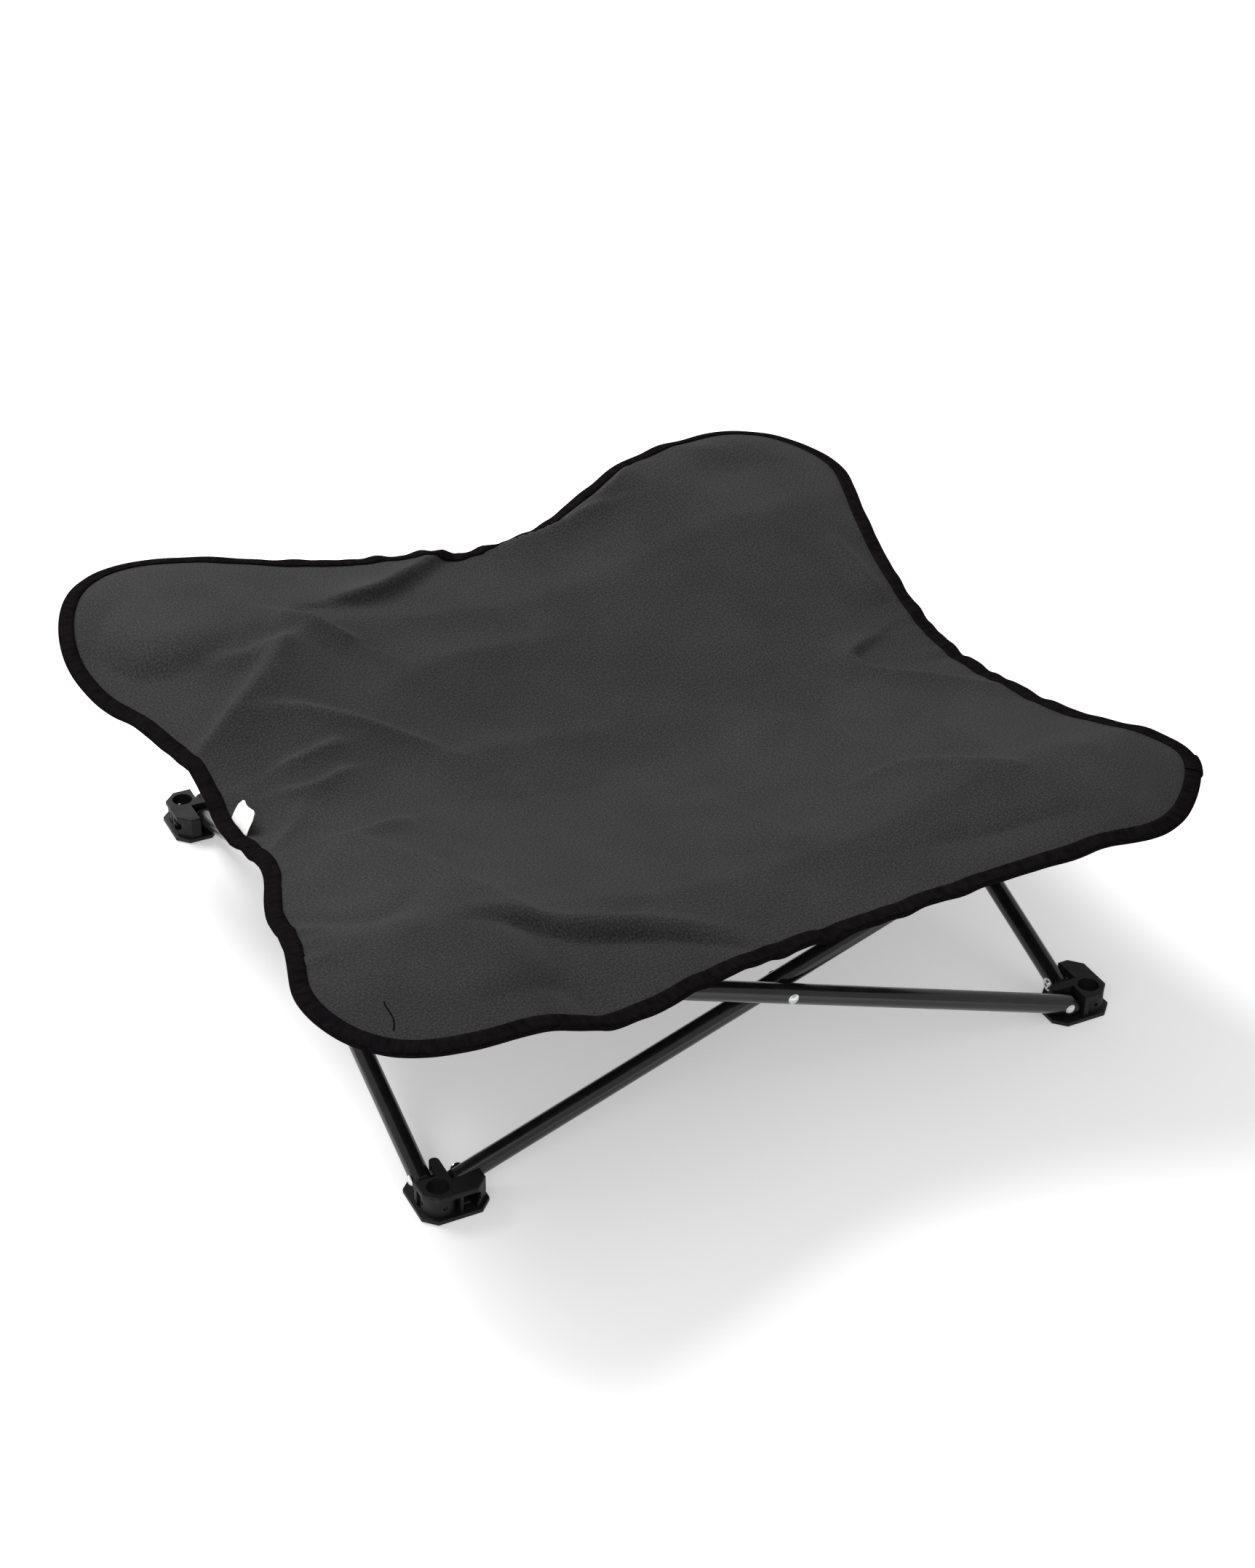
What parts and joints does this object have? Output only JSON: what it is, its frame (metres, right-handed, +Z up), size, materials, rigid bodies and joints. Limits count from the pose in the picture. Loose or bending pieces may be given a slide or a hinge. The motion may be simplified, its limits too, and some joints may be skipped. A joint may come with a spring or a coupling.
{
  "type": "dog bed with frame",
  "caption": "Raised pet bed: a charcoal cloth sling with four lobed corners, bound in black tape, carried on a square folding frame of crossed black steel tubes with plastic corner feet.",
  "frame": {"origin": "on the floor, under the middle of the bed", "axes": "+Z up; +X along the front side from the front-left foot to the front-right foot; +Y to the back"},
  "size_m": [0.7408, 0.7408, 0.2198],
  "materials": {
    "tube_black": "gloss black powder-coated steel tube",
    "hub_plastic": "black injection-moulded plastic with a fine matt grain",
    "plug_plastic": "black plastic",
    "washer_plastic": "black nylon",
    "rivet_steel": "bright zinc-plated semi-tubular rivet",
    "sling_fabric": "charcoal woven polyester, lightly padded",
    "binding_tape": "black ribbed grosgrain tape",
    "pocket_fabric": "black woven lining",
    "label_fabric": "white printed satin ribbon"
  },
  "bodies": {
    "foot_front_left": {"foot_hub_front_left": "hub_plastic", "foot_rivets_front_left": "rivet_steel"},
    "foot_front_right": {"foot_hub_front_right": "hub_plastic", "foot_rivets_front_right": "rivet_steel"},
    "foot_back_right": {"foot_hub_back_right": "hub_plastic", "foot_rivets_back_right": "rivet_steel"},
    "foot_back_left": {"foot_hub_back_left": "hub_plastic", "foot_rivets_back_left": "rivet_steel"},
    "inner_tube_front": {"inner_tube_front": "tube_black", "inner_tube_plugs_front": "plug_plastic"},
    "outer_tube_front": {"outer_tube_front": "tube_black", "outer_tube_plugs_front": "plug_plastic", "cross_rivet_front": "rivet_steel", "cross_washer_front": "washer_plastic"},
    "inner_tube_right": {"inner_tube_right": "tube_black", "inner_tube_plugs_right": "plug_plastic"},
    "outer_tube_right": {"outer_tube_right": "tube_black", "outer_tube_plugs_right": "plug_plastic", "cross_rivet_right": "rivet_steel", "cross_washer_right": "washer_plastic"},
    "inner_tube_back": {"inner_tube_back": "tube_black", "inner_tube_plugs_back": "plug_plastic"},
    "outer_tube_back": {"outer_tube_back": "tube_black", "outer_tube_plugs_back": "plug_plastic", "cross_rivet_back": "rivet_steel", "cross_washer_back": "washer_plastic"},
    "inner_tube_left": {"inner_tube_left": "tube_black", "inner_tube_plugs_left": "plug_plastic"},
    "outer_tube_left": {"outer_tube_left": "tube_black", "outer_tube_plugs_left": "plug_plastic", "cross_rivet_left": "rivet_steel", "cross_washer_left": "washer_plastic"},
    "top_front_left": {"top_hub_front_left": "hub_plastic", "top_rivets_front_left": "rivet_steel", "sling_front_left": "sling_fabric", "binding_front_left": "binding_tape", "pocket_front_left": "pocket_fabric"},
    "top_front_right": {"top_hub_front_right": "hub_plastic", "top_rivets_front_right": "rivet_steel", "sling_front_right": "sling_fabric", "binding_front_right": "binding_tape", "pocket_front_right": "pocket_fabric"},
    "top_back_right": {"top_hub_back_right": "hub_plastic", "top_rivets_back_right": "rivet_steel", "sling_back_right": "sling_fabric", "binding_back_right": "binding_tape", "pocket_back_right": "pocket_fabric"},
    "top_back_left": {"top_hub_back_left": "hub_plastic", "top_rivets_back_left": "rivet_steel", "sling_back_left": "sling_fabric", "binding_back_left": "binding_tape", "pocket_back_left": "pocket_fabric", "care_label": "label_fabric"}
  },
  "joints": [
    {"name": "fold", "type": "hinge", "parent": "foot_front_left", "child": "inner_tube_front", "pos_m": [-0.26029, -0.2708, 0.0134], "axis": [0, -1, 0], "range_deg": [0, 65], "deforming": ["sling_front_left", "sling_front_right", "sling_back_right", "sling_back_left", "binding_front_left", "binding_front_right", "binding_back_right", "binding_back_left", "pocket_front_left", "pocket_front_right", "pocket_back_right", "pocket_back_left", "care_label"]},
    {"name": "cross_front", "type": "hinge", "parent": "inner_tube_front", "child": "outer_tube_front", "pos_m": [0, -0.27954, 0.10814], "axis": [0, 1, 0], "range_deg": [0, 130]},
    {"name": "foot_pivot_front", "type": "hinge", "parent": "outer_tube_front", "child": "foot_front_right", "pos_m": [0.26029, -0.2883, 0.0134], "axis": [0, -1, 0], "range_deg": [0, 65]},
    {"name": "top_pivot_inner_front", "type": "hinge", "parent": "inner_tube_front", "child": "top_front_right", "pos_m": [0.26029, -0.2708, 0.20288], "axis": [0, 1, 0], "range_deg": [0, 65]},
    {"name": "top_pivot_outer_front", "type": "hinge", "parent": "outer_tube_front", "child": "top_front_left", "pos_m": [-0.26029, -0.2883, 0.20288], "axis": [0, -1, 0], "range_deg": [0, 65]},
    {"name": "foot_pivot_right", "type": "hinge", "parent": "foot_front_right", "child": "inner_tube_right", "pos_m": [0.2708, -0.26029, 0.0134], "axis": [1, 0, 0], "range_deg": [0, 65]},
    {"name": "cross_right", "type": "hinge", "parent": "inner_tube_right", "child": "outer_tube_right", "pos_m": [0.27954, 0, 0.10814], "axis": [-1, 0, 0], "range_deg": [0, 130]},
    {"name": "top_pivot_inner_right", "type": "hinge", "parent": "inner_tube_right", "child": "top_back_right", "pos_m": [0.2708, 0.26029, 0.20288], "axis": [-1, 0, 0], "range_deg": [0, 65]},
    {"name": "foot_pivot_left", "type": "hinge", "parent": "foot_front_left", "child": "outer_tube_left", "pos_m": [-0.2883, -0.26029, 0.0134], "axis": [1, 0, 0], "range_deg": [0, 65]},
    {"name": "cross_left", "type": "hinge", "parent": "outer_tube_left", "child": "inner_tube_left", "pos_m": [-0.27954, 0, 0.10814], "axis": [-1, 0, 0], "range_deg": [0, 130]},
    {"name": "foot_pivot_back_left", "type": "hinge", "parent": "inner_tube_left", "child": "foot_back_left", "pos_m": [-0.2708, 0.26029, 0.0134], "axis": [1, 0, 0], "range_deg": [0, 65]},
    {"name": "top_pivot_outer_left", "type": "hinge", "parent": "outer_tube_left", "child": "top_back_left", "pos_m": [-0.2883, 0.26029, 0.20288], "axis": [-1, 0, 0], "range_deg": [0, 65]},
    {"name": "foot_pivot_back", "type": "hinge", "parent": "foot_back_left", "child": "outer_tube_back", "pos_m": [-0.26029, 0.2883, 0.0134], "axis": [0, -1, 0], "range_deg": [0, 65]},
    {"name": "cross_back", "type": "hinge", "parent": "outer_tube_back", "child": "inner_tube_back", "pos_m": [0, 0.27954, 0.10814], "axis": [0, 1, 0], "range_deg": [0, 130]},
    {"name": "foot_pivot_back_right", "type": "hinge", "parent": "inner_tube_back", "child": "foot_back_right", "pos_m": [0.26029, 0.2708, 0.0134], "axis": [0, -1, 0], "range_deg": [0, 65]}
  ],
  "couplings": [
    {"joint": "cross_front", "follows": "fold", "ratio": 2},
    {"joint": "foot_pivot_front", "follows": "fold", "ratio": 1},
    {"joint": "top_pivot_inner_front", "follows": "fold", "ratio": 1},
    {"joint": "top_pivot_outer_front", "follows": "fold", "ratio": 1},
    {"joint": "foot_pivot_right", "follows": "fold", "ratio": 1},
    {"joint": "cross_right", "follows": "fold", "ratio": 2},
    {"joint": "top_pivot_inner_right", "follows": "fold", "ratio": 1},
    {"joint": "foot_pivot_left", "follows": "fold", "ratio": 1},
    {"joint": "cross_left", "follows": "fold", "ratio": 2},
    {"joint": "foot_pivot_back_left", "follows": "fold", "ratio": 1},
    {"joint": "top_pivot_outer_left", "follows": "fold", "ratio": 1},
    {"joint": "foot_pivot_back", "follows": "fold", "ratio": 1},
    {"joint": "cross_back", "follows": "fold", "ratio": 2},
    {"joint": "foot_pivot_back_right", "follows": "fold", "ratio": 1}
  ]
}
